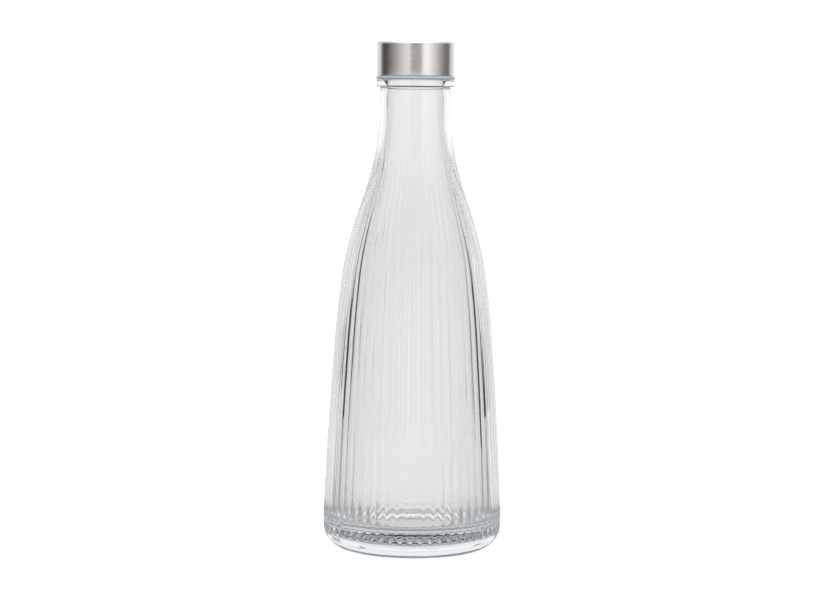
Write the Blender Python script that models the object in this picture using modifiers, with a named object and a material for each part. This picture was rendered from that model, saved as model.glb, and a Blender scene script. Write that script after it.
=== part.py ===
"""Fluted glass water bottle with a two-start screw cap.

The bottle stands on +Z with its axis on the Z axis and its foot at Z = 0.
Lengths are written in millimetres and turned into metres where the meshes are made.
"""
import math

import bmesh
import bpy
from mathutils import Matrix

MM = 0.001

# Glass body
FLUTES = 56
FLUTE_DEPTH = 0.85              # at the widest point; it falls with the square of the radius
FIRST_ARRIS = 2.0               # degrees from +X to the nearest ridge between two flutes
FLUTE_HEAD = (212.0, 232.0)     # heights over which a flute fades into the plain neck
WIDEST_RADIUS = 50.0
WIDEST_HEIGHT = 21.5
HEEL_RADIUS = 12.3
HEEL_SET_IN = 0.1               # the heel starts this far inside the widest radius
FOOT_INNER_RADIUS = 34.0
PUNT_HEIGHT = 2.5
PUNT_ROWS = (1.0, 0.8, 0.5, 0.0)  # rows of the hollow under the foot, as parts of its radius
FLOOR_THICKNESS = 15.0
INNER_HEEL_RADIUS = 8.0
WALL = 3.5
NECK_EXTRA_WALL = 0.4
NECK_WALL_GAIN = (200.0, 250.0)  # heights over which the wall thickens into the neck
NECK_FLARE = 0.5                # the neck widens by this much into the underside of the bead
BORE_RADIUS = 15.6
MOUTH_BEVEL = 1.0               # the bore opens out by this much at the rim
# Height and radius of the flowing side, from the widest point up to the neck
SIDE = [
    (WIDEST_HEIGHT, WIDEST_RADIUS), (60.0, 48.1), (100.0, 45.55), (140.0, 42.0), (165.0, 38.3),
    (185.0, 32.8), (200.0, 27.8), (215.0, 23.4), (235.0, 20.35), (255.0, 19.5),
]
# Heights of the rows of the side
ROWS = [
    255.0, 235.0, 224.0, 215.0, 207.0, 200.0, 192.0, 185.0, 175.0, 165.0, 152.0, 130.0, 100.0, 60.0,
    WIDEST_HEIGHT,
]

# Finish: the bead and the threaded lip that the cap closes on
BEAD_BOTTOM = 258.7
BEAD_TOP = 262.3
BEAD_RADIUS = 21.8
BEAD_ROUND = 0.6
LIP_RADIUS = 18.3
RIM_HEIGHT = 279.0
RIM_ROUND = 0.8

# Two-start thread
STARTS = 2
LEAD = 8.0
THREAD_PITCH = LEAD / STARTS
GLASS_RIDGE = 0.9               # how far the glass thread stands out of the lip
GLASS_RIDGE_TURNS = 0.75
GLASS_RIDGE_FOOT = 266.8
LINER_RIDGE = 0.8
LINER_RIDGE_TURNS = 0.5
RIDGE_STEP = 15.0               # degrees from one thread point to the next
RIDGE_TIP = 0.35                # a ridge starts and ends at this part of its full size
RIDGE_RUN = 3.0                 # steps over which it grows to its full size

# Cap
GAP = 0.3                       # running gap between pieces that touch
CAP_TOP = 283.4
CAP_BOTTOM = 264.8
CAP_RADIUS = 21.3
CAP_EDGE_ROUND = 1.4
STEEL = 0.5
LINER_WALL = 1.0
LINER_TOP_WALL = 1.6
BOSS_RADIUS = 13.9
BOSS_DEPTH = 1.4
SKIRT_RING_RADIUS = 21.75
SKIRT_RING_LIP = 0.4
SKIRT_RING_MOUTH = 19.6
SKIRT_RING_ROUND = 0.4
SKIRT_RING_BOTTOM = BEAD_TOP + GAP
LINER_RADIUS = CAP_RADIUS - STEEL - GAP
LINER_TOP = CAP_TOP - STEEL - GAP
LINER_CEILING = LINER_TOP - LINER_TOP_WALL
LINER_BORE = LINER_RADIUS - LINER_WALL
LINER_FOOT = SKIRT_RING_BOTTOM + SKIRT_RING_LIP + GAP
GASKET_THICKNESS = 1.4
GASKET_ROUND = 0.3

# Sides of the turned pieces
BODY_STEPS = 2 * FLUTES
FINISH_STEPS = 56
CAVITY_STEPS = 48
CAP_STEPS = 48

PIECES = "fluted_glass_water_bottle"
TOOLS = "cutting_and_joining_shapes"


def clear_scene():
    """Start from an empty file with one collection for the pieces and one for the tools."""
    for obj in list(bpy.data.objects):
        bpy.data.objects.remove(obj, do_unlink=True)
    for name in (PIECES, TOOLS):
        bpy.context.scene.collection.children.link(bpy.data.collections.new(name))


def make_material(name, colour, roughness, metallic=0.0, transmission=0.0):
    """A Principled material with one colour."""
    material = bpy.data.materials.new(name)
    material.use_nodes = True
    shader = material.node_tree.nodes["Principled BSDF"]
    shader.inputs["Base Color"].default_value = (*colour, 1.0)
    shader.inputs["Roughness"].default_value = roughness
    shader.inputs["Metallic"].default_value = metallic
    shader.inputs["Transmission Weight"].default_value = transmission
    return material


def add_object(name, mesh, collection):
    """Put a mesh in the scene as a named object of a collection."""
    obj = bpy.data.objects.new(name, mesh)
    bpy.data.collections[collection].objects.link(obj)
    if collection == TOOLS:
        obj.hide_render = True
        obj.display_type = "WIRE"
    return obj


def arc(centre, radius, start, end, steps):
    """Points on a round of an outline; angles in degrees, 0 outwards and 90 up."""
    points = []
    for i in range(steps + 1):
        angle = math.radians(start + (end - start) * i / steps)
        points.append((centre[0] + radius * math.cos(angle), centre[1] + radius * math.sin(angle)))
    return points


def ease(value, low, high):
    """0 below low, 1 above high and a smooth step between them."""
    t = min(max((value - low) / (high - low), 0.0), 1.0)
    return t * t * (3.0 - 2.0 * t)


def side_radius(height):
    """Outer radius of the glass between the heel and the neck: a smooth curve through SIDE."""
    slopes = [(b[1] - a[1]) / (b[0] - a[0]) for a, b in zip(SIDE, SIDE[1:])]
    tangents = [slopes[0]]
    for i in range(1, len(SIDE) - 1):
        before = SIDE[i][0] - SIDE[i - 1][0]
        after = SIDE[i + 1][0] - SIDE[i][0]
        tangents.append((slopes[i - 1] * after + slopes[i] * before) / (before + after))
    tangents.append(slopes[-1])
    span = 0
    while span < len(SIDE) - 2 and height > SIDE[span + 1][0]:
        span += 1
    (low, r_low), (high, r_high) = SIDE[span], SIDE[span + 1]
    step = high - low
    t = (height - low) / step
    return ((2 * t**3 - 3 * t**2 + 1) * r_low + (t**3 - 2 * t**2 + t) * step * tangents[span]
            + (3 * t**2 - 2 * t**3) * r_high + (t**3 - t**2) * step * tangents[span + 1])


def cavity_radius(height):
    """Inner radius of the glass: the outer curve less a wall that thickens towards the neck."""
    return side_radius(height) - WALL - NECK_EXTRA_WALL * ease(height, *NECK_WALL_GAIN)


def turned(name, outline, steps, collection=PIECES, closed=False):
    """A turned piece: its outline in the XZ plane, swept round Z by a Screw modifier."""
    count = len(outline)
    edges = [(i, i + 1) for i in range(count - 1)]
    if closed:
        edges.append((count - 1, 0))
    mesh = bpy.data.meshes.new(name)
    mesh.from_pydata([(x * MM, 0.0, z * MM) for x, z in outline], edges, [])
    obj = add_object(name, mesh, collection)
    screw = obj.modifiers.new("Turn", "SCREW")
    screw.steps = steps
    screw.render_steps = steps
    screw.use_merge_vertices = True
    screw.merge_threshold = 0.00001
    screw.use_smooth_shade = True
    return obj


def applied(obj):
    """Replace an object by a mesh object with its modifiers or its curve bevel worked in."""
    name = obj.name
    collection = obj.users_collection[0].name
    bpy.context.view_layer.update()
    evaluated = obj.evaluated_get(bpy.context.evaluated_depsgraph_get())
    mesh = bpy.data.meshes.new_from_object(evaluated)
    place = obj.matrix_world.copy()
    bpy.data.objects.remove(obj, do_unlink=True)
    shape = bmesh.new()
    shape.from_mesh(mesh)
    bmesh.ops.remove_doubles(shape, verts=shape.verts, dist=0.000001)
    shape.to_mesh(mesh)
    shape.free()
    mesh.name = name
    result = add_object(name, mesh, collection)
    result.matrix_world = place
    return result


def combine(obj, tool, operation):
    """Cut a piece with a tool shape, or join the tool shape to it."""
    boolean = obj.modifiers.new(tool.name, "BOOLEAN")
    boolean.operation = operation
    boolean.solver = "EXACT"
    boolean.object = tool


def finish_piece(obj, material):
    """Give a piece its material, and smooth shading that breaks at its edges."""
    obj.data.materials.clear()
    obj.data.materials.append(material)
    obj.data.shade_smooth()
    obj.data.set_sharp_from_angle(angle=math.radians(35.0))


def thread_ridge(name, radius, height, foot, turns, start_angle):
    """One start of a thread: a round ridge on a helix, thinning out at both ends."""
    count = round(turns * 360.0 / RIDGE_STEP) + 1
    curve = bpy.data.curves.new(name, "CURVE")
    curve.dimensions = "3D"
    curve.bevel_depth = height * MM
    curve.bevel_resolution = 2
    curve.use_fill_caps = True
    spline = curve.splines.new("POLY")
    spline.points.add(count - 1)
    for i, point in enumerate(spline.points):
        turn = turns * i / (count - 1)
        angle = start_angle + 2.0 * math.pi * turn
        z = foot + LEAD * turn
        point.co = (radius * math.cos(angle) * MM, radius * math.sin(angle) * MM, z * MM, 1.0)
        point.radius = RIDGE_TIP + (1.0 - RIDGE_TIP) * ease(min(i, count - 1 - i), 0.0, RIDGE_RUN)
    return applied(add_object(name, curve, TOOLS))


def press_flutes(obj):
    """Press a hollow between every two arrises; it runs out into the rounded heel below.

    The bottle is then turned round its axis to bring the first arris to its place.
    """
    for vertex in obj.data.vertices:
        x, y, z = (value / MM for value in vertex.co)
        radius = math.hypot(x, y)
        column = round(math.atan2(y, x) / (2.0 * math.pi) * BODY_STEPS)
        if column % 2 == 0 or radius == 0.0 or z > FLUTE_HEAD[1]:
            continue
        side = side_radius(max(z, WIDEST_HEIGHT))
        depth = FLUTE_DEPTH * (side / WIDEST_RADIUS) ** 2 * (1.0 - ease(z, *FLUTE_HEAD))
        shrink = min(1.0, (side - depth) / radius)
        vertex.co.x *= shrink
        vertex.co.y *= shrink
    obj.data.transform(Matrix.Rotation(math.radians(FIRST_ARRIS), 4, "Z"))


def threaded_finish():
    """Solid top of the bottle, with no bore yet: the lip for the cap above the round bead."""
    outline = [(0.0, RIM_HEIGHT)]
    outline += arc((LIP_RADIUS - RIM_ROUND, RIM_HEIGHT - RIM_ROUND), RIM_ROUND, 90.0, 0.0, 2)
    outline += [(LIP_RADIUS, BEAD_TOP)]
    outline += arc((BEAD_RADIUS - BEAD_ROUND, BEAD_TOP - BEAD_ROUND), BEAD_ROUND, 90.0, 0.0, 2)
    outline += arc((BEAD_RADIUS - BEAD_ROUND, BEAD_BOTTOM + BEAD_ROUND), BEAD_ROUND, 0.0, -90.0, 2)
    outline += [(0.0, BEAD_BOTTOM)]
    return turned("bottle_finish", outline, FINISH_STEPS, TOOLS)


def glass_bottle(material):
    """Fluted body, neck, bead and threaded lip: one pressed and blown piece of clear glass."""
    neck_top = (BEAD_BOTTOM + BEAD_TOP) / 2.0
    neck_radius = side_radius(ROWS[0]) + NECK_FLARE
    outline = [(0.0, neck_top), (neck_radius, neck_top), (neck_radius, BEAD_BOTTOM - NECK_FLARE / 2.0)]
    outline += [(side_radius(height), height) for height in ROWS]
    heel_centre = (WIDEST_RADIUS - HEEL_SET_IN - HEEL_RADIUS, HEEL_RADIUS)
    outline += arc(heel_centre, HEEL_RADIUS, 0.0, -90.0, 4)
    outline += [(FOOT_INNER_RADIUS * part, PUNT_HEIGHT * (1.0 - part**2)) for part in PUNT_ROWS]
    glass = applied(turned("glass_bottle", outline, BODY_STEPS))
    press_flutes(glass)
    combine(glass, threaded_finish(), "UNION")

    lowest = INNER_HEEL_RADIUS + FLOOR_THICKNESS
    mouth = BORE_RADIUS + MOUTH_BEVEL
    hollow = [(0.0, RIM_HEIGHT + MOUTH_BEVEL), (mouth, RIM_HEIGHT + MOUTH_BEVEL), (mouth, RIM_HEIGHT)]
    hollow += [(BORE_RADIUS, RIM_HEIGHT - MOUTH_BEVEL)]
    hollow += [(cavity_radius(height), height) for height in ROWS[::2] if height > lowest]
    corner = cavity_radius(WIDEST_HEIGHT) - INNER_HEEL_RADIUS
    hollow += arc((corner, lowest), INNER_HEEL_RADIUS, 0.0, -90.0, 4)
    hollow += [(0.0, FLOOR_THICKNESS)]
    combine(glass, turned("bottle_hollow", hollow, CAVITY_STEPS, TOOLS), "DIFFERENCE")

    for start in range(STARTS):
        ridge = thread_ridge(f"glass_thread_{start + 1}", LIP_RADIUS, GLASS_RIDGE, GLASS_RIDGE_FOOT,
                             GLASS_RIDGE_TURNS, 2.0 * math.pi * start / STARTS)
        combine(glass, ridge, "UNION")
    finish_piece(glass, material)
    return glass


def cap_shell(material):
    """Drawn steel cup that covers the cap."""
    inner_radius = CAP_RADIUS - STEEL
    inner_top = CAP_TOP - STEEL
    inner_round = CAP_EDGE_ROUND - STEEL
    outline = [(0.0, CAP_TOP)]
    outline += arc((CAP_RADIUS - CAP_EDGE_ROUND, CAP_TOP - CAP_EDGE_ROUND), CAP_EDGE_ROUND, 90.0, 0.0, 3)
    outline += [(CAP_RADIUS, CAP_BOTTOM), (inner_radius, CAP_BOTTOM)]
    outline += arc((inner_radius - inner_round, inner_top - inner_round), inner_round, 0.0, 90.0, 2)
    outline += [(0.0, inner_top)]
    shell = turned("cap_shell", outline, CAP_STEPS)
    finish_piece(shell, material)
    return shell


def cap_liner(material):
    """Moulded insert inside the steel cup: it carries the thread and a boss for the gasket."""
    corner = CAP_EDGE_ROUND - STEEL
    outline = [(0.0, LINER_TOP)]
    outline += arc((LINER_RADIUS - corner, LINER_TOP - corner), corner, 90.0, 0.0, 2)
    outline += [(LINER_RADIUS, LINER_FOOT), (LINER_BORE, LINER_FOOT), (LINER_BORE, LINER_CEILING)]
    outline += [(BOSS_RADIUS, LINER_CEILING), (BOSS_RADIUS, LINER_CEILING - BOSS_DEPTH)]
    outline += [(0.0, LINER_CEILING - BOSS_DEPTH)]
    liner = turned("cap_liner", outline, CAP_STEPS)
    for start in range(STARTS):
        ridge = thread_ridge(f"liner_thread_{start + 1}", LINER_BORE, LINER_RIDGE,
                             GLASS_RIDGE_FOOT - THREAD_PITCH / 2.0, LINER_RIDGE_TURNS,
                             2.0 * math.pi * start / STARTS)
        combine(liner, ridge, "UNION")
    finish_piece(liner, material)
    return liner


def sealing_gasket(material):
    """Soft washer round the liner's boss, just above the rim of the glass."""
    inner = BOSS_RADIUS + GAP
    outer = LINER_BORE - GAP
    bottom = RIM_HEIGHT + GAP
    top = bottom + GASKET_THICKNESS
    r = GASKET_ROUND
    outline = arc((outer - r, top - r), r, 90.0, 0.0, 1)
    outline += arc((outer - r, bottom + r), r, 0.0, -90.0, 1)
    outline += arc((inner + r, bottom + r), r, -90.0, -180.0, 1)
    outline += arc((inner + r, top - r), r, 180.0, 90.0, 1)
    gasket = turned("sealing_gasket", outline, CAP_STEPS, closed=True)
    finish_piece(gasket, material)
    return gasket


def skirt_ring(material):
    """Soft band on the liner's foot: it keeps the steel skirt off the glass bead."""
    top = CAP_BOTTOM - GAP
    bottom = SKIRT_RING_BOTTOM
    r = SKIRT_RING_ROUND
    inner = LINER_RADIUS + GAP
    outline = arc((SKIRT_RING_RADIUS - r, top - r), r, 90.0, 0.0, 1)
    outline += arc((SKIRT_RING_RADIUS - r, bottom + r), r, 0.0, -90.0, 1)
    outline += [(SKIRT_RING_MOUTH, bottom), (SKIRT_RING_MOUTH, bottom + SKIRT_RING_LIP)]
    outline += [(inner, bottom + SKIRT_RING_LIP), (inner, top)]
    ring = turned("skirt_ring", outline, CAP_STEPS, closed=True)
    finish_piece(ring, material)
    return ring


def main():
    clear_scene()
    glass_bottle(make_material("clear_glass", (0.93, 0.95, 0.96), 0.03, transmission=1.0))
    cap_shell(make_material("brushed_steel", (0.70, 0.68, 0.66), 0.32, metallic=1.0))
    cap_liner(make_material("liner_plastic", (0.80, 0.82, 0.83), 0.45))
    sealing_gasket(make_material("gasket_silicone", (0.86, 0.88, 0.90), 0.60))
    skirt_ring(make_material("ring_silicone", (0.62, 0.70, 0.78), 0.50))


main()
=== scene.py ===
"""Looks of the fluted glass water bottle: fine glass, brushed steel cap, soft seals, studio."""
import math

import bpy
from mathutils import Matrix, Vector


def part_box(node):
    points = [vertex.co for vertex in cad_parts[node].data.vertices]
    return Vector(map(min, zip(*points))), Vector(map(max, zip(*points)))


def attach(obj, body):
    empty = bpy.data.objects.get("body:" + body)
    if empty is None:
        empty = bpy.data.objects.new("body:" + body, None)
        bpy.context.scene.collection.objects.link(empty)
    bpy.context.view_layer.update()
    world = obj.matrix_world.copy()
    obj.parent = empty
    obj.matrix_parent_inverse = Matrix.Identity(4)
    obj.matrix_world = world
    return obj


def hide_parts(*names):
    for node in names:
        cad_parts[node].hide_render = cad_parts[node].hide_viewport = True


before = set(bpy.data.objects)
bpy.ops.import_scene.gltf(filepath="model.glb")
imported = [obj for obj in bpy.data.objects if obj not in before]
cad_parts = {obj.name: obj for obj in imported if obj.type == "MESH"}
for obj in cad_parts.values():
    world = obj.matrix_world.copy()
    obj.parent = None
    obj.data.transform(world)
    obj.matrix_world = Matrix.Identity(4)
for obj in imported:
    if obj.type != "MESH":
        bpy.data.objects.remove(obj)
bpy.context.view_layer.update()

MM = 0.001

# Flutes
FLUTES = 56
FLUTE_DEPTH = 1.0 * MM          # with sharp arrises, at the widest point; falls with the radius squared
ARRIS_ROUND = 0.16              # how far the arrises are rounded over, which leaves 0.85 mm of depth
FLUTE_TURN = 2.0 / 360.0        # the first arris stands this far round from +X
FLUTE_FADE = (212.0 * MM, 232.0 * MM)   # the flutes die out into the neck between these heights
RUN_OUT_TOP = 14.0 * MM         # below this height the flutes grow shallower
RUN_OUT_SLOPE = 0.125           # their hollows rise by this part of the height gone down
FLUTE_FOOT = 6.0 * MM           # the heel is plain below this height

# Side of the glass, from the widest point to the neck: height and radius
SIDE = [
    (21.5 * MM, 50.0 * MM), (60.0 * MM, 48.1 * MM), (100.0 * MM, 45.55 * MM), (140.0 * MM, 42.0 * MM),
    (165.0 * MM, 38.3 * MM), (185.0 * MM, 32.8 * MM), (200.0 * MM, 27.8 * MM), (215.0 * MM, 23.4 * MM),
    (235.0 * MM, 20.35 * MM), (255.0 * MM, 19.5 * MM),
]
WIDEST_AT, WIDEST = SIDE[0]
NECK_TOP = SIDE[-1][0]

# Heel, foot and inside
HEEL = 12.3 * MM                # radius of the round of the heel
HEEL_SET_IN = 0.1 * MM          # it starts this far inside the widest radius
FOOT_INNER = 34.0 * MM          # inner radius of the ring that the bottle stands on
PUNT = 2.5 * MM                 # height of the dome inside that ring
FLOOR_OF_BOTTLE = 15.0 * MM     # height of the inner floor
INNER_HEEL = 8.0 * MM           # radius of the round between that floor and the wall
WALL = 3.5 * MM
NECK_EXTRA_WALL = 0.4 * MM
NECK_THICKENS = (200.0 * MM, 250.0 * MM)    # the wall gains that between these heights
BORE = 15.6 * MM                # radius of the straight bore at the mouth
BORE_ROWS = (262.0 * MM, 272.0 * MM)        # and the heights of its rows

# Bead and lip
BEAD_BOTTOM = 258.7 * MM
BEAD_TOP = 262.3 * MM
BEAD = 21.8 * MM
BEAD_ROUND = 0.6 * MM
NECK_FILLET = 0.35 * MM
NECK_FLARE = 0.15 * MM          # how much the neck widens up to the fillet under the bead
LIP = 18.3 * MM
LIP_FILLET = 0.5 * MM
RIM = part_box("glass_bottle")[1][2]
RIM_ROUND = 0.8 * MM

# Two-start thread
LEAD = 8.0 * MM
STARTS = 2
RIDGE_RUN = 0.06                # a ridge thins out over this part of a turn at both ends
RIDGE_FULLNESS = 0.8            # below 1 its round is fuller than a cosine's
GLASS_THREAD = {"foot": 266.8 * MM, "turns": 0.75, "height": 0.85 * MM, "half_width": 0.95 * MM}
LINER_THREAD = {"foot": 264.8 * MM, "turns": 0.5, "height": 0.7 * MM, "half_width": 0.85 * MM}

# Steel cup
CUP_WALL = 0.5 * MM
CUP_EDGE = 1.4 * MM             # round of the top edge
CUP_BELOW_EDGE = 1.0 * MM       # the skirt's first row stands this far below that round
CUP_FOOT_ROUND = 0.2 * MM
CUP_FOOT_INNER_ROUND = 0.1 * MM

# Threaded liner
LINER_WALL = 1.0 * MM
LINER_CEILING = 1.6 * MM
LINER_TOP_ROUND = 0.9 * MM
LINER_FOOT_ROUND = 0.3 * MM
LINER_FOOT_EDGE = 0.2 * MM      # the outer side runs straight down to this height above the foot
LINER_CORNER = 0.4 * MM         # fillets under the ceiling
LINER_THREAD_TOP = 272.0 * MM
BOSS = 13.9 * MM
BOSS_DROP = 1.4 * MM
BOSS_ROUND = 0.3 * MM

# Gasket
GASKET_BORE = 14.2 * MM
GASKET_ROUND = 0.3 * MM
RIB = 16.9 * MM                 # radius of the sealing rib
RIB_HEIGHT = 0.18 * MM
RIB_HALF_WIDTH = 0.45 * MM

# Skirt ring
RING_ROUND = 0.55 * MM
RING_MOUTH = 19.6 * MM
RING_LIP = 0.4 * MM             # thickness of the lip under the liner
RING_LIP_ROUND = 0.15 * MM
RING_GAP = 0.3 * MM             # between the ring and the liner
RING_PAINTED_SHADE = (263.9 * MM, 263.0 * MM)   # painted shade: it darkens from the first height down to the second

# How fine the meshes are
COLUMNS_PER_FLUTE = 12
SIDE_ROWS = 64                  # rows of the fluted side above FINE_BELOW, and again below it
FINE_BELOW = 26.0 * MM
WALL_ROWS = 60
NECK_ROWS = 8
PUNT_ROWS = 8
THREAD_ROWS = 44
GASKET_ROWS = 28
COLUMNS = 192                   # round the plain turned pieces

# How bright the room is by the angle from the front, as mirrored in the steel and the skin of the
# glass, and as seen through the glass. Dark screens stand behind the bottle on both sides.
MIRRORED_IN_STEEL = [
    (-180, 0.78), (-132, 0.80), (-124, 0.22), (-114, 0.03), (-94, 0.03), (-78, 0.16), (-60, 0.36),
    (-44, 0.64), (-26, 0.92), (-18, 1.16), (-14, 0.16), (18, 0.16), (22, 1.36), (36, 1.40), (56, 0.88),
    (80, 0.42), (100, 0.18), (118, 0.15), (124, 0.36), (132, 0.84),
]
SEEN_THROUGH_GLASS = [
    (-180, 0.98), (-156, 1.00), (-144, 0.98), (-130, 0.85), (-126, 0.03), (-104, 0.03), (-99, 0.60),
    (-88, 0.85), (-60, 0.90), (-30, 0.95), (40, 0.95), (60, 0.92), (84, 0.85), (97, 0.60), (102, 0.03),
    (124, 0.03), (128, 0.85), (142, 0.98), (156, 1.00), (180, 0.98),
]
SCREEN_LEAN = 1.0               # the dark screens lean outwards, and cover more of the room low down
LEAN_HEIGHTS = (-0.15, 0.05)    # the lean stays the same below and above these slopes of view
MIRRORED_CEILING_FROM = (0.30, 0.60)    # slopes at which the ceiling takes over from the walls
SEEN_CEILING_FROM = (0.22, 0.36)
SEEN_CEILING = (0.44, 0.45, 0.46, 1.0)
ROOM_STRENGTH = 1.05
DIM_NEAR_TABLE = ((-0.062, -0.012), 0.14)   # slopes over which the room brightens, and by how much
DIM_HIGH_UP = ((0.08, 0.14), 0.20)          # slopes over which it darkens, and by how much
BACKGROUND_STRENGTH = 1.03

# Table
TABLE_LEFT, TABLE_RIGHT = -0.85, 0.63
TABLE_FRONT, TABLE_BACK = -2.0, 3.0
TABLE_TOP = -0.0002
TABLE_GLOW = 0.97
SCREEN_SHADE_ON_TABLE = 0.75         # how strongly the painted shade of the screens darkens the table
PAINTED_SHADOW_INSIDE = (31.0 * MM, 34.0 * MM)   # where the painted contact shadow on the table deepens, and where it ends
PAINTED_SHADOW_OUTSIDE = (50.0 * MM, 43.0 * MM)  # where it ends
# grey of the painted contact shadow, which nothing in the scene casts
PAINTED_SHADOW = (0.38, 0.37, 0.36, 1.0)

# Light and camera
LIGHT_HEIGHT = 1.6
LIGHT_SIZE = 1.6
LIGHT_POWER = 16.0
CAMERA_PLACE = (-0.0007, -1.3, 0.2622)
CAMERA_PITCH = 5.4              # degrees down from level
CAMERA_ROLL = 0.473             # degrees
SENSOR, LENS = 36.0, 101.45     # millimetres

# How often light may bend and bounce on its way through the thick base
BOUNCES = 40
GLASS_BOUNCES = 32
GLOSS_BOUNCES = 14


# ---------------------------------------------------------------- shader maths

class Value:
    """One output socket of a finish, with arithmetic that adds Math nodes."""

    def __init__(self, finish, socket):
        self.finish = finish
        self.socket = socket

    def math(self, operation, *operands):
        return self.finish.node("ShaderNodeMath", {"operation": operation}, dict(enumerate(operands)))

    def __add__(self, other):
        return self.math("ADD", self, other)

    def __radd__(self, other):
        return self.math("ADD", other, self)

    def __sub__(self, other):
        return self.math("SUBTRACT", self, other)

    def __rsub__(self, other):
        return self.math("SUBTRACT", other, self)

    def __mul__(self, other):
        return self.math("MULTIPLY", self, other)

    def __rmul__(self, other):
        return self.math("MULTIPLY", other, self)

    def __pow__(self, other):
        return self.math("POWER", self, other)


def grey(level):
    """A colour without a tint."""
    return (level, level, level, 1.0)


def grey_stops(levels):
    """Ramp stops for a list of angle and level."""
    return [(degrees / 360.0 + 0.5, grey(level)) for degrees, level in levels]


def from_axis(x, y):
    """How far a point stands from the bottle's axis."""
    return (x * x + y * y) ** 0.5


def along_ramp(x, y):
    """Angle from the front (-Y) as a part of a turn: 0 at the front, 0.5 either way behind."""
    return x.math("ARCTAN2", x, y * -1.0) * (0.5 / math.pi)


class Nodes:
    """A node tree, whose nodes are all made by one method."""

    def __init__(self, tree):
        self.tree = tree

    def node(self, kind, settings=None, sockets=None, output=0):
        """Add a node: its settings first, then values or links on its sockets."""
        node = self.tree.nodes.new(kind)
        for name, value in (settings or {}).items():
            if name == "stops":
                self.set_stops(node.color_ramp, value)
            else:
                setattr(node, name, value)
        for key, value in (sockets or {}).items():
            self.feed(node.inputs[key], value)
        return None if output is None else Value(self, node.outputs[output])

    def set_stops(self, ramp, stops):
        while len(ramp.elements) < len(stops):
            ramp.elements.new(1.0)
        for element, (position, colour) in zip(ramp.elements, stops):
            element.position = position
            element.color = colour

    def feed(self, socket, value):
        if isinstance(value, Value):
            self.tree.links.new(value.socket, socket)
        else:
            socket.default_value = value

    def axes(self, vector):
        """A vector's x, y and z as three values."""
        split = self.node("ShaderNodeSeparateXYZ", {}, {0: vector}).socket.node
        return [Value(self, output) for output in split.outputs]

    def spread(self, value, low, high):
        """Stretch a 0 to 1 value over a range."""
        return self.node("ShaderNodeMapRange", {}, {"Value": value, "To Min": low, "To Max": high})

    def fade(self, value, none, full):
        """0 where the value is none, 1 where it is full, and smooth in between."""
        return self.node("ShaderNodeMapRange", {"interpolation_type": "SMOOTHSTEP"},
                         {"Value": value, "From Min": none, "From Max": full})

    def blend(self, factor, first, second):
        """Mix of two colours."""
        return self.node("ShaderNodeMix", {"data_type": "RGBA"}, {0: factor, 6: first, 7: second}, output=2)

    def room_level(self, levels, position):
        """The room's grey at a position along a list of angle and level."""
        return self.node("ShaderNodeValToRGB", {"stops": grey_stops(levels)}, {0: position + 0.5})


class Finish(Nodes):
    """A material on a Principled shader."""

    def __init__(self, name, **constants):
        self.material = bpy.data.materials.new(name)
        self.material.use_nodes = True
        super().__init__(self.material.node_tree)
        self.shader = self.tree.nodes["Principled BSDF"]
        for socket, value in constants.items():
            self.shader.inputs[socket.replace("_", " ")].default_value = value

    def place(self):
        """The point of the surface, in metres."""
        return self.node("ShaderNodeTexCoord", output="Object")

    def noise(self, vector, scale, detail):
        return self.node("ShaderNodeTexNoise", {}, {"Vector": vector, "Scale": scale, "Detail": detail})

    def bump(self, height, distance, strength=1.0):
        return self.node("ShaderNodeBump", {}, {"Height": height, "Distance": distance, "Strength": strength})

    def fill(self, volume):
        """Fill the piece with a volume shader."""
        self.feed(self.tree.nodes["Material Output"].inputs["Volume"], volume)

    def paint(self, **links):
        for socket, value in links.items():
            self.feed(self.shader.inputs[socket.replace("_", " ")], value)
        return self.material


# ---------------------------------------------------------------- finishes

def clear_glass():
    """Clear soda-lime glass: faint waves left by the mould, the least haze of handling, stippled foot."""
    finish = Finish("clear_glass", IOR=1.5, Transmission_Weight=1.0)
    waves = finish.noise(finish.place(), scale=55.0, detail=1.0)
    haze = finish.noise(finish.place(), scale=140.0, detail=3.0)
    tint = finish.blend(haze, (0.850, 0.846, 0.848, 1.0), (0.866, 0.861, 0.863, 1.0))
    depths = finish.node("ShaderNodeVolumeAbsorption", {}, {"Color": (0.55, 0.80, 0.95, 1.0), "Density": 2.0})
    finish.fill(depths)
    x, y, z = finish.axes(finish.place())
    near_foot = finish.fade(z, 0.7 * MM, 0.1 * MM)
    on_ring = finish.fade(from_axis(x, y), 32.0 * MM, 33.5 * MM)
    stippled = near_foot * on_ring
    dimples = finish.node("ShaderNodeTexVoronoi", {}, {"Vector": finish.place(), "Scale": 700.0})
    relief = waves * 0.00012 + dimples * stippled * 0.00035
    rough = finish.spread(haze, 0.0, 0.012) + stippled * 0.5
    return finish.paint(Base_Color=tint, Roughness=rough, Normal=finish.bump(relief, distance=1.0))


def brushed_steel():
    """Stainless steel brushed round its axis, on the skirt and in rings on the top."""
    finish = Finish("brushed_steel", Metallic=1.0, Anisotropic=0.85, Anisotropic_Rotation=0.25)
    lines_per_metre = 9000.0
    breaks_per_radian = 1.4
    x, y, z = finish.axes(finish.place())
    across = (z + from_axis(x, y)) * lines_per_metre
    angle = y.math("ARCTAN2", y, x)
    lines = finish.node("ShaderNodeCombineXYZ", {}, {0: across, 1: angle * breaks_per_radian, 2: 0.0})
    fine = finish.noise(lines, scale=1.0, detail=2.0)
    broad = finish.noise(lines, scale=0.22, detail=1.0)
    colour = finish.blend(fine, (0.56, 0.535, 0.51, 1.0), (0.82, 0.795, 0.77, 1.0))
    rough = finish.spread(fine * 0.6 + broad * 0.4, 0.20, 0.40)
    return finish.paint(Base_Color=colour, Roughness=rough,
                        Normal=finish.bump(fine, distance=0.00001, strength=0.6))


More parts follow.
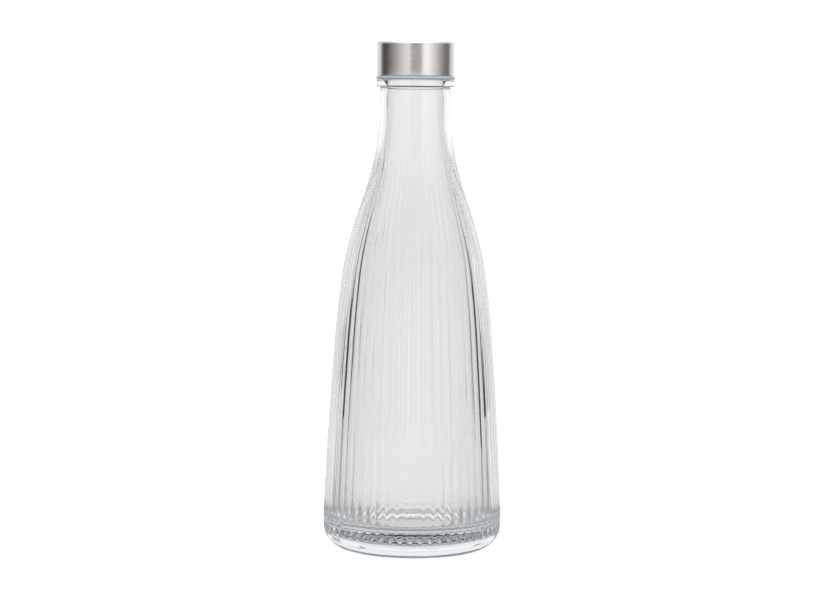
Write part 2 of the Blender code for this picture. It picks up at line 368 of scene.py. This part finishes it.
def moulded_plastic():
    """Milky moulded plastic of the threaded liner."""
    finish = Finish("liner_plastic", Subsurface_Weight=0.15, Subsurface_Scale=0.002)
    cloud = finish.noise(finish.place(), scale=120.0, detail=3.0)
    grain = finish.noise(finish.place(), scale=2500.0, detail=1.0)
    colour = finish.blend(cloud, (0.74, 0.76, 0.78, 1.0), (0.84, 0.86, 0.87, 1.0))
    return finish.paint(Base_Color=colour, Roughness=finish.spread(cloud, 0.36, 0.52),
                        Normal=finish.bump(grain, distance=0.00002))


def silicone(name, dark, light, painted_shade=None):
    """Soft translucent silicone with a matt skin; the last argument holds the heights over which painted
    shade darkens it.
    """
    finish = Finish(name, Transmission_Weight=0.35, IOR=1.41)
    cloud = finish.noise(finish.place(), scale=200.0, detail=2.0)
    grain = finish.noise(finish.place(), scale=3000.0, detail=1.0)
    colour = finish.blend(cloud, dark, light)
    if painted_shade:
        height = finish.axes(finish.place())[2]
        # painted shade: the colour turns a darker blue-grey towards the lower edge
        colour = finish.blend(finish.fade(height, *painted_shade), colour, (0.47, 0.51, 0.54, 1.0))
    return finish.paint(Base_Color=colour, Roughness=finish.spread(cloud, 0.42, 0.60),
                        Normal=finish.bump(grain, distance=0.00002))


def gasket_silicone():
    return silicone("gasket_silicone", (0.80, 0.82, 0.84, 1.0), (0.88, 0.90, 0.92, 1.0))


def ring_silicone():
    """Blue-grey silicone with painted shade, darker towards its lower edge."""
    return silicone("ring_silicone", (0.68, 0.725, 0.76, 1.0), (0.76, 0.80, 0.83, 1.0), RING_PAINTED_SHADE)


def floor_paint():
    """Pale table that glows softly.

    Seen through the glass or in the steel, and not directly, it also has the screens' painted shade
    in dark sectors and a narrow painted contact shadow round the foot of the bottle.
    """
    finish = Finish("pale_floor", Roughness=0.9, Emission_Strength=TABLE_GLOW)
    cloud = finish.noise(finish.place(), scale=3.0, detail=2.0)
    x, y, _ = finish.axes(finish.place())
    radius = from_axis(x, y)
    # painted contact shadow round the foot of the bottle, for light that doesn't come straight to the camera
    painted_shadow = finish.fade(radius, *PAINTED_SHADOW_INSIDE) * finish.fade(radius, *PAINTED_SHADOW_OUTSIDE)
    # painted shade of the dark screens, in sectors round the bottle, for light that doesn't come straight to
    # the camera
    screens = finish.room_level(SEEN_THROUGH_GLASS, along_ramp(x, y))
    indirect = 1.0 - finish.node("ShaderNodeLightPath", output="Is Camera Ray")
    glow = finish.blend(cloud, grey(0.99), grey(1.0))
    glow = finish.blend(indirect * SCREEN_SHADE_ON_TABLE, glow, screens)
    glow = finish.blend(indirect * painted_shadow, glow, PAINTED_SHADOW)
    return finish.paint(Base_Color=finish.blend(cloud, grey(0.05), grey(0.06)), Emission_Color=glow)


# ---------------------------------------------------------------- outlines

def arc(centre, radius, start, end, steps):
    """Points on a round of an outline; angles in degrees, 0 outwards and 90 up."""
    points = []
    for i in range(steps + 1):
        angle = math.radians(start + (end - start) * i / steps)
        points.append((centre[0] + radius * math.cos(angle), centre[1] + radius * math.sin(angle)))
    return points


def straight(start, end, steps):
    """Even points from start up to, and without, end."""
    return [(start[0] + (end[0] - start[0]) * i / steps, start[1] + (end[1] - start[1]) * i / steps)
            for i in range(steps)]


def ease(value, low, high):
    """0 up to low, 1 from high, and smooth in between."""
    t = min(max((value - low) / (high - low), 0.0), 1.0)
    return t * t * (3.0 - 2.0 * t)


def side_radius(height):
    """Outer radius of the glass: a smooth curve through SIDE."""
    slopes = [(b[1] - a[1]) / (b[0] - a[0]) for a, b in zip(SIDE, SIDE[1:])]
    tangents = [slopes[0]]
    for i in range(1, len(SIDE) - 1):
        before = SIDE[i][0] - SIDE[i - 1][0]
        after = SIDE[i + 1][0] - SIDE[i][0]
        tangents.append((slopes[i - 1] * after + slopes[i] * before) / (before + after))
    tangents.append(slopes[-1])
    span = 0
    while span < len(SIDE) - 2 and height > SIDE[span + 1][0]:
        span += 1
    (low, r_low), (high, r_high) = SIDE[span], SIDE[span + 1]
    step = high - low
    t = (height - low) / step
    return ((2 * t**3 - 3 * t**2 + 1) * r_low + (t**3 - 2 * t**2 + t) * step * tangents[span]
            + (3 * t**2 - 2 * t**3) * r_high + (t**3 - t**2) * step * tangents[span + 1])


def cavity_radius(height):
    """Inner radius of the glass, whose wall is thicker in the neck."""
    return side_radius(height) - WALL - NECK_EXTRA_WALL * ease(height, *NECK_THICKENS)


def plain_heel(height):
    """Radius of the rounded heel, which the flutes run out into."""
    top = WIDEST - HEEL_SET_IN
    if height >= HEEL:
        return top + HEEL_SET_IN * ease(height, HEEL, WIDEST_AT)
    return top - HEEL + math.sqrt(max(HEEL**2 - (HEEL - height) ** 2, 0.0))


def fluted_radius(height, turn):
    """Radius of the fluted side: the lower of the plain side and the hollow of the flute."""
    plain = plain_heel(height) if height < WIDEST_AT else side_radius(height)
    guide = side_radius(max(height, WIDEST_AT))
    depth = FLUTE_DEPTH * (guide / WIDEST) ** 2 * (1.0 - ease(height, *FLUTE_FADE))
    wave = abs(math.sin(math.pi * FLUTES * (turn - FLUTE_TURN)))
    hollow = math.sqrt(wave**2 + ARRIS_ROUND**2) - ARRIS_ROUND
    lift = RUN_OUT_SLOPE * max(RUN_OUT_TOP - height, 0.0)
    return min(plain, guide - depth * hollow + lift)


def thread_height(thread, height, turn):
    """How far a thread stands out at a height and a turn (0 to 1) round the axis."""
    best = 0.0
    for start in range(STARTS):
        along = (turn - start / STARTS) % 1.0
        if along > thread["turns"]:
            continue
        offset = abs(height - thread["foot"] - LEAD * along) / thread["half_width"]
        if offset < 1.0:
            run = ease(min(along, thread["turns"] - along), 0.0, RIDGE_RUN)
            crest = math.cos(offset * math.pi / 2.0) ** RIDGE_FULLNESS
            best = max(best, thread["height"] * run * crest)
    return best


# ---------------------------------------------------------------- turned surfaces

class Rings:
    """A closed surface built up from rings of points round Z."""

    def __init__(self):
        self.points = []
        self.faces = []
        self.first = None
        self.last = None

    def ring(self, count, radius, height):
        """Add a ring; radius may be a function of the turn (0 to 1)."""
        start = len(self.points)
        for i in range(count):
            turn = i / count
            r = radius(turn) if callable(radius) else radius
            angle = 2.0 * math.pi * turn
            self.points.append((r * math.cos(angle), r * math.sin(angle), height))
        self.join(list(range(start, start + count)))

    def tip(self, height):
        """A single point on the axis, which starts or closes the surface."""
        self.points.append((0.0, 0.0, height))
        self.join([len(self.points) - 1])

    def outline(self, count, points):
        """A ring for each point of an outline, and a tip where it meets the axis."""
        for radius, height in points:
            if radius <= 0.0:
                self.tip(height)
            else:
                self.ring(count, radius, height)

    def join(self, ring):
        """Join a new ring to the one before."""
        if self.last:
            self.bridge(self.last, ring)
        else:
            self.first = ring
        self.last = ring

    def bridge(self, upper, lower):
        """Faces between two rings, whose counts are equal or multiples of each other."""
        fewer, more = sorted((len(upper), len(lower)))
        steps = more if fewer == 1 else fewer
        for i in range(steps):
            a = self.span(upper, i, steps)
            b = self.span(lower, i, steps)
            self.faces.append(b + a[::-1])

    def span(self, ring, index, steps):
        """The ring's points that belong to one of so many steps round it."""
        if len(ring) == 1:
            return list(ring)
        size = len(ring) // steps
        return [ring[(index * size + k) % len(ring)] for k in range(size + 1)]

    def close(self):
        self.bridge(self.last, self.first)

    def piece(self, name, material, sharp=40.0):
        """The finished piece; edges that bend by more than sharp degrees stay crisp."""
        mesh = bpy.data.meshes.new(name)
        mesh.from_pydata(self.points, [], self.faces)
        mesh.validate()
        mesh.update()
        mesh.materials.append(material)
        mesh.shade_smooth()
        mesh.set_sharp_from_angle(angle=math.radians(sharp))
        obj = bpy.data.objects.new(name, mesh)
        bpy.context.scene.collection.objects.link(obj)
        return obj


def turned(name, outline, material, closed=False):
    """A plain turned piece; the outline runs down its outer side."""
    rings = Rings()
    rings.outline(COLUMNS, outline)
    if closed:
        rings.close()
    return rings.piece(name, material)


# ---------------------------------------------------------------- glass

def inside_outline():
    """From the middle of the bottle's floor outwards, up the wall and over onto the rim."""
    corner = cavity_radius(WIDEST_AT) - INNER_HEEL
    heel_top = FLOOR_OF_BOTTLE + INNER_HEEL
    outline = [(0.0, FLOOR_OF_BOTTLE)]
    outline += straight((corner * 0.25, FLOOR_OF_BOTTLE), (corner, FLOOR_OF_BOTTLE), 4)
    outline += arc((corner, heel_top), INNER_HEEL, -90.0, 0.0, 14)
    for i in range(1, WALL_ROWS + 1):
        height = heel_top + (NECK_TOP - heel_top) * i / WALL_ROWS
        outline.append((cavity_radius(height), height))
    outline += [(BORE, height) for height in BORE_ROWS]
    return outline + arc((BORE + RIM_ROUND, RIM - RIM_ROUND), RIM_ROUND, 180.0, 90.0, 5)


def bead_outline():
    """From the foot of the lip round the bead and down the plain neck."""
    outline = arc((LIP + LIP_FILLET, BEAD_TOP + LIP_FILLET), LIP_FILLET, 180.0, 270.0, 3)
    outline += arc((BEAD - BEAD_ROUND, BEAD_TOP - BEAD_ROUND), BEAD_ROUND, 90.0, 0.0, 7)
    outline += arc((BEAD - BEAD_ROUND, BEAD_BOTTOM + BEAD_ROUND), BEAD_ROUND, 0.0, -90.0, 7)
    fillet = side_radius(NECK_TOP) + NECK_FLARE + NECK_FILLET
    outline += arc((fillet, BEAD_BOTTOM - NECK_FILLET), NECK_FILLET, 90.0, 180.0, 5)
    for i in range(NECK_ROWS):
        height = NECK_TOP - (NECK_TOP - FLUTE_FADE[1]) * i / NECK_ROWS
        outline.append((side_radius(height), height))
    return outline


def flute_heights():
    """Heights of the rows of the fluted side, closer together towards the heel."""
    side = [FLUTE_FADE[1] - (FLUTE_FADE[1] - FINE_BELOW) * i / SIDE_ROWS for i in range(SIDE_ROWS + 1)]
    return side + [FINE_BELOW - (FINE_BELOW - FLUTE_FOOT) * i / SIDE_ROWS for i in range(1, SIDE_ROWS + 1)]


def heel_outline():
    """From the foot of the flutes round the heel and across the ring that the bottle stands on."""
    start = math.degrees(math.asin((FLUTE_FOOT - HEEL) / HEEL))
    return arc((WIDEST - HEEL_SET_IN - HEEL, HEEL), HEEL, start, -90.0, 10)[1:] + [(FOOT_INNER, 0.0)]


def punt_outline():
    """The dome under the bottle, from the foot ring up to the axis."""
    dome = (FOOT_INNER**2 + PUNT**2) / (2.0 * PUNT)
    radii = [FOOT_INNER * (1.0 - i / PUNT_ROWS) for i in range(1, PUNT_ROWS)]
    return [(radius, math.sqrt(dome**2 - radius**2) - dome + PUNT) for radius in radii] + [(0.0, PUNT)]


def fine_glass(material):
    """The bottle in one skin: up the inside, over the rim and down the outside to the punt."""
    fine = FLUTES * COLUMNS_PER_FLUTE
    middling = fine // 3
    coarse = middling // 2
    rings = Rings()
    rings.outline(coarse, inside_outline())
    rings.outline(middling, arc((LIP - RIM_ROUND, RIM - RIM_ROUND), RIM_ROUND, 90.0, 0.0, 5))
    for i in range(1, THREAD_ROWS):
        height = RIM - RIM_ROUND - (RIM - RIM_ROUND - BEAD_TOP) * i / THREAD_ROWS
        rings.ring(middling, lambda turn, z=height: LIP + thread_height(GLASS_THREAD, z, turn), height)
    rings.outline(middling, bead_outline())
    for height in flute_heights():
        rings.ring(fine, lambda turn, z=height: fluted_radius(z, turn), height)
    rings.outline(middling, heel_outline())
    rings.outline(coarse, punt_outline())
    glass = rings.piece("fluted_glass", material, sharp=60.0)
    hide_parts("glass_bottle")
    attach(glass, "bottle")


# ---------------------------------------------------------------- cap

def steel_cup(material):
    """Drawn cup with a flat top, a soft top edge and a trimmed foot."""
    low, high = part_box("cap_shell")
    radius, top, bottom = high[0], high[2], low[2]
    edge = (radius - CUP_EDGE, top - CUP_EDGE)
    foot = bottom + CUP_FOOT_ROUND
    inner = radius - CUP_WALL + CUP_FOOT_INNER_ROUND
    outline = [(0.0, top)] + straight((radius * 0.2, top), (radius - CUP_EDGE, top), 6)
    outline += arc(edge, CUP_EDGE, 90.0, 0.0, 10)
    outline += straight((radius, top - CUP_EDGE - CUP_BELOW_EDGE), (radius, foot), 5)
    outline += arc((radius - CUP_FOOT_ROUND, foot), CUP_FOOT_ROUND, 0.0, -90.0, 3)
    outline += arc((inner, bottom + CUP_FOOT_INNER_ROUND), CUP_FOOT_INNER_ROUND, -90.0, -180.0, 2)
    outline += arc(edge, CUP_EDGE - CUP_WALL, 0.0, 90.0, 6)
    outline += [(0.0, top - CUP_WALL)]
    cup = turned("steel_cup", outline, material)
    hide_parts("cap_shell")
    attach(cup, "cap")


def threaded_liner(material):
    """Moulded liner: rounded edges, its thread inside and the boss that centres the gasket."""
    low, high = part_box("cap_liner")
    radius, top, foot = high[0], high[2], low[2]
    bore = radius - LINER_WALL
    ceiling = top - LINER_CEILING
    boss_foot = ceiling - BOSS_DROP
    foot_round = foot + LINER_FOOT_ROUND

    shell = [(0.0, top)]
    shell += arc((radius - LINER_TOP_ROUND, top - LINER_TOP_ROUND), LINER_TOP_ROUND, 90.0, 0.0, 5)
    shell += [(radius, foot + LINER_FOOT_EDGE)]
    shell += arc((radius - LINER_FOOT_ROUND, foot_round), LINER_FOOT_ROUND, -30.0, -90.0, 3)
    shell += arc((bore + LINER_FOOT_ROUND, foot_round), LINER_FOOT_ROUND, -90.0, -180.0, 3)

    under = arc((bore - LINER_CORNER, ceiling - LINER_CORNER), LINER_CORNER, 0.0, 90.0, 3)
    under += arc((BOSS + LINER_CORNER, ceiling - LINER_CORNER), LINER_CORNER, 90.0, 180.0, 3)
    under += arc((BOSS - BOSS_ROUND, boss_foot + BOSS_ROUND), BOSS_ROUND, 0.0, -90.0, 3)
    under += [(0.0, boss_foot)]

    rings = Rings()
    rings.outline(COLUMNS, shell)
    for i in range(1, THREAD_ROWS):
        height = foot_round + (LINER_THREAD_TOP - foot) * i / THREAD_ROWS
        rings.ring(COLUMNS, lambda turn, z=height: bore - thread_height(LINER_THREAD, z, turn), height)
    rings.outline(COLUMNS, under)
    liner = rings.piece("threaded_liner", material)
    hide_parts("cap_liner")
    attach(liner, "cap")


def washer(material):
    """Gasket with a low sealing rib on its underside."""
    low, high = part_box("sealing_gasket")
    outer, top, bottom = high[0] - GASKET_ROUND, high[2] - GASKET_ROUND, low[2] + GASKET_ROUND
    inner = GASKET_BORE + GASKET_ROUND
    outline = arc((outer, top), GASKET_ROUND, 90.0, 0.0, 4)
    outline += arc((outer, bottom), GASKET_ROUND, 0.0, -90.0, 4)
    for i in range(1, GASKET_ROWS):
        reach = outer + (inner - outer) * i / GASKET_ROWS
        offset = abs(reach - RIB) / RIB_HALF_WIDTH
        rib = RIB_HEIGHT * math.cos(offset * math.pi / 2.0) if offset < 1.0 else 0.0
        outline.append((reach, low[2] + RIB_HEIGHT - rib))
    outline += arc((inner, bottom), GASKET_ROUND, -90.0, -180.0, 4)
    outline += arc((inner, top), GASKET_ROUND, 180.0, 90.0, 4)
    gasket = turned("washer", outline, material, closed=True)
    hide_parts("sealing_gasket")
    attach(gasket, "seal")


def foot_band(material):
    """Soft ring below the steel, with a rounded outer face and a lip under the liner."""
    low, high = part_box("skirt_ring")
    outer, top, bottom = high[0], high[2], low[2]
    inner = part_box("cap_liner")[1][0] + RING_GAP
    lip_top = bottom + RING_LIP
    outline = arc((outer - RING_ROUND, top - RING_ROUND), RING_ROUND, 90.0, 0.0, 6)
    outline += arc((outer - RING_ROUND, bottom + RING_ROUND), RING_ROUND, 0.0, -90.0, 6)
    outline += arc((RING_MOUTH + RING_LIP_ROUND, bottom + RING_LIP_ROUND), RING_LIP_ROUND, -90.0, -180.0, 2)
    outline += [(RING_MOUTH, lip_top), (inner, lip_top), (inner, top)]
    band = turned("foot_band", outline, material, closed=True)
    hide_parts("skirt_ring")
    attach(band, "cap")


# ---------------------------------------------------------------- studio

def studio_world():
    """White where the camera looks straight at it, and a room with dark screens for all else.

    Light that has gone through the glass meets the room as seen through glass, and the rest meets
    the room as mirrored in steel.
    """
    world = bpy.data.worlds.new("studio")
    bpy.context.scene.world = world
    world.use_nodes = True
    room = Nodes(world.node_tree)
    room.tree.nodes.clear()
    x, y, up = room.axes(room.node("ShaderNodeTexCoord", output="Generated"))
    angle = along_ramp(x, y)
    lowest, highest = LEAN_HEIGHTS
    lean = up.math("MINIMUM", up.math("MAXIMUM", up, lowest), highest) * SCREEN_LEAN + 1.0
    mirrored = room.room_level(MIRRORED_IN_STEEL, angle)
    through = room.room_level(SEEN_THROUGH_GLASS, angle * lean)
    mirrored = room.blend(room.fade(up, *MIRRORED_CEILING_FROM), mirrored, grey(1.0))
    through = room.blend(room.fade(up, *SEEN_CEILING_FROM), through, SEEN_CEILING)
    brighter = room.fade(up, *DIM_NEAR_TABLE[0]) * DIM_NEAR_TABLE[1]
    darker = room.fade(up, *DIM_HIGH_UP[0]) * DIM_HIGH_UP[1]
    strength = brighter - darker + ROOM_STRENGTH
    level = room.blend(room.node("ShaderNodeLightPath", output="Is Transmission Ray"), mirrored, through)
    lit = room.node("ShaderNodeBackground", {}, {"Color": level, "Strength": strength})
    white = room.node("ShaderNodeBackground", {}, {"Color": grey(1.0), "Strength": BACKGROUND_STRENGTH})
    direct = room.node("ShaderNodeLightPath", output="Is Camera Ray")
    mixed = room.node("ShaderNodeMixShader", {}, {0: direct, 1: lit, 2: white})
    room.node("ShaderNodeOutputWorld", {}, {0: mixed}, output=None)


def overhead_light():
    """Large soft light that hangs over the bottle and shines straight down."""
    light = bpy.data.lights.new("overhead", "AREA")
    light.size = LIGHT_SIZE
    light.energy = LIGHT_POWER
    obj = bpy.data.objects.new("overhead", light)
    obj.location = (0.0, 0.0, LIGHT_HEIGHT)
    bpy.context.scene.collection.objects.link(obj)


def floor(material):
    """White table top, which runs far back and ends near the bottle on both sides."""
    corners = [(TABLE_LEFT, TABLE_FRONT), (TABLE_RIGHT, TABLE_FRONT),
               (TABLE_RIGHT, TABLE_BACK), (TABLE_LEFT, TABLE_BACK)]
    mesh = bpy.data.meshes.new("pale_floor")
    mesh.from_pydata([(x, y, TABLE_TOP) for x, y in corners], [], [(0, 1, 2, 3)])
    mesh.materials.append(material)
    table = bpy.data.objects.new("pale_floor", mesh)
    bpy.context.scene.collection.objects.link(table)


def camera():
    """Camera in front of the cap, which looks slightly down at the bottle."""
    cam = bpy.data.cameras.new("camera")
    cam.sensor_width = SENSOR
    cam.lens = LENS
    cam.clip_start = 0.01
    obj = bpy.data.objects.new("camera", cam)
    tilt = Matrix.Rotation(math.radians(90.0 - CAMERA_PITCH), 4, "X")
    roll = Matrix.Rotation(math.radians(CAMERA_ROLL), 4, "Z")
    obj.matrix_world = Matrix.Translation(CAMERA_PLACE) @ tilt @ roll
    bpy.context.scene.collection.objects.link(obj)
    bpy.context.scene.camera = obj


def main():
    scene = bpy.context.scene
    scene.view_settings.view_transform = "Standard"
    scene.cycles.max_bounces = BOUNCES
    scene.cycles.transmission_bounces = GLASS_BOUNCES
    scene.cycles.glossy_bounces = GLOSS_BOUNCES
    fine_glass(clear_glass())
    steel_cup(brushed_steel())
    threaded_liner(moulded_plastic())
    washer(gasket_silicone())
    foot_band(ring_silicone())
    floor(floor_paint())
    studio_world()
    overhead_light()
    camera()


main()
